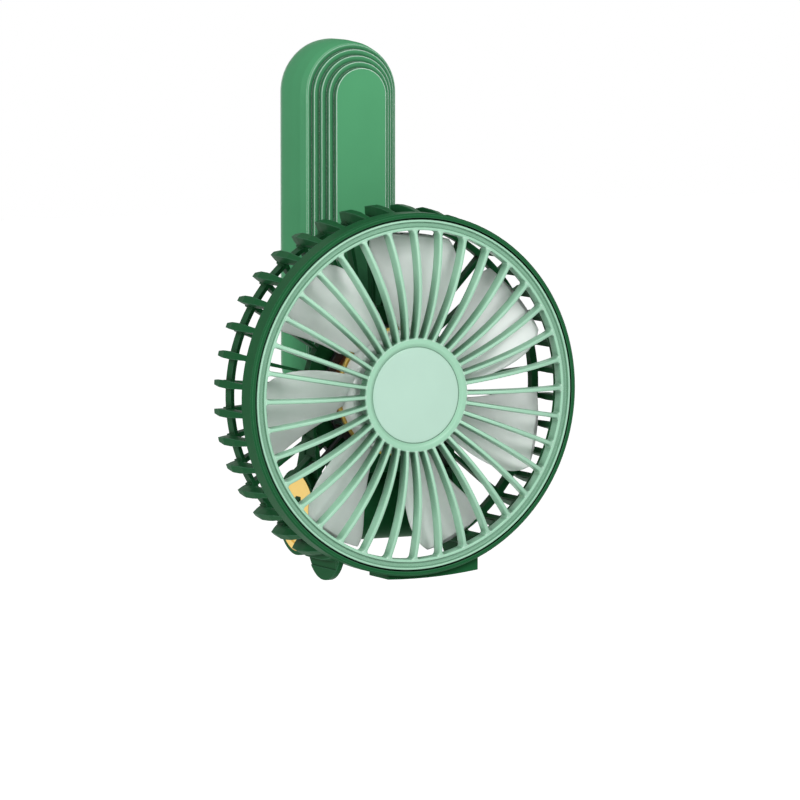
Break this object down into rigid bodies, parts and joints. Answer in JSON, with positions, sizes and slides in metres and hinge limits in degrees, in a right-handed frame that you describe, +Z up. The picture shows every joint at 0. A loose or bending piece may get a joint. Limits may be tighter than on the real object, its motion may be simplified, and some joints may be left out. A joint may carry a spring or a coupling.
{
  "type": "folding hand fan",
  "caption": "Rechargeable folding hand fan with a round grilled head, finned rear cage and a capsule handle folded up behind the head.",
  "frame": {"origin": "centre of the overall box, at the bottom, where the hinge ears end", "axes": "+Z up along the folded handle, -Y the way the fan blows, X along the hinge"},
  "size_m": [0.1078, 0.0666, 0.1543],
  "materials": {
    "grille_plastic": "satin moulded plastic, pale green",
    "cage_plastic": "satin moulded plastic, dark green",
    "handle_plastic": "satin moulded plastic, mid green",
    "blade_plastic": "milky translucent plastic",
    "button_plastic": "gloss green plastic",
    "brass": "brushed, yellow",
    "bronze": "sintered bronze",
    "copper": "varnished copper wire",
    "steel": "zinc plated",
    "core_steel": "laminated steel",
    "nickel": "nickel plated",
    "magnet": "sintered ferrite",
    "board_green": "solder mask",
    "board_black": "black moulded plastic",
    "washer_rubber": "black",
    "lead_sleeve": "vinyl sleeve",
    "cell_sleeve": "shrink sleeve",
    "lens_clear": "clear plastic"
  },
  "bodies": {
    "head": {"front_grille": "grille_plastic", "hub_badge": "grille_plastic", "rear_cage": "cage_plastic", "motor_base": "board_black", "motor_front_bracket": "brass", "front_bearing": "bronze", "rear_bearing": "bronze", "stator_core": "core_steel", "stator_windings": "copper", "motor_bolts": "steel", "motor_rear_cap": "cage_plastic", "motor_lead": "lead_sleeve", "hinge_pin_left": "steel", "hinge_pin_right": "steel", "hinge_cap_left": "brass", "hinge_cap_right": "brass", "friction_washers": "washer_rubber"},
    "impeller": {"impeller": "blade_plastic", "motor_shaft": "steel", "rotor_magnet": "magnet", "shaft_clip": "steel"},
    "handle": {"hinge_arm": "cage_plastic", "neck_pin": "steel", "handle_front_shell": "handle_plastic", "handle_rear_shell": "handle_plastic", "battery_cell": "cell_sleeve", "battery_contacts": "nickel", "battery_leads": "lead_sleeve", "circuit_board": "board_green", "usb_socket": "nickel", "button_switch": "board_black", "charge_leds": "lens_clear", "indicator_lens": "lens_clear", "handle_screws": "steel"},
    "button": {"power_button": "button_plastic"}
  },
  "joints": [
    {"name": "impeller_spin", "type": "hinge", "parent": "head", "child": "impeller", "pos_m": [0, -0.01692, 0.0539], "axis": [0, 1, 0], "continuous": true},
    {"name": "handle_fold", "type": "hinge", "parent": "head", "child": "handle", "pos_m": [0, -0.00193, 0.0184], "axis": [-1, 0, 0], "range_deg": [0, 180]},
    {"name": "power_button_press", "type": "slide", "parent": "handle", "child": "button", "axis": [0, -1, 0], "range_m": [0, 0.0006], "stiffness_N_per_m": 1500}
  ]
}
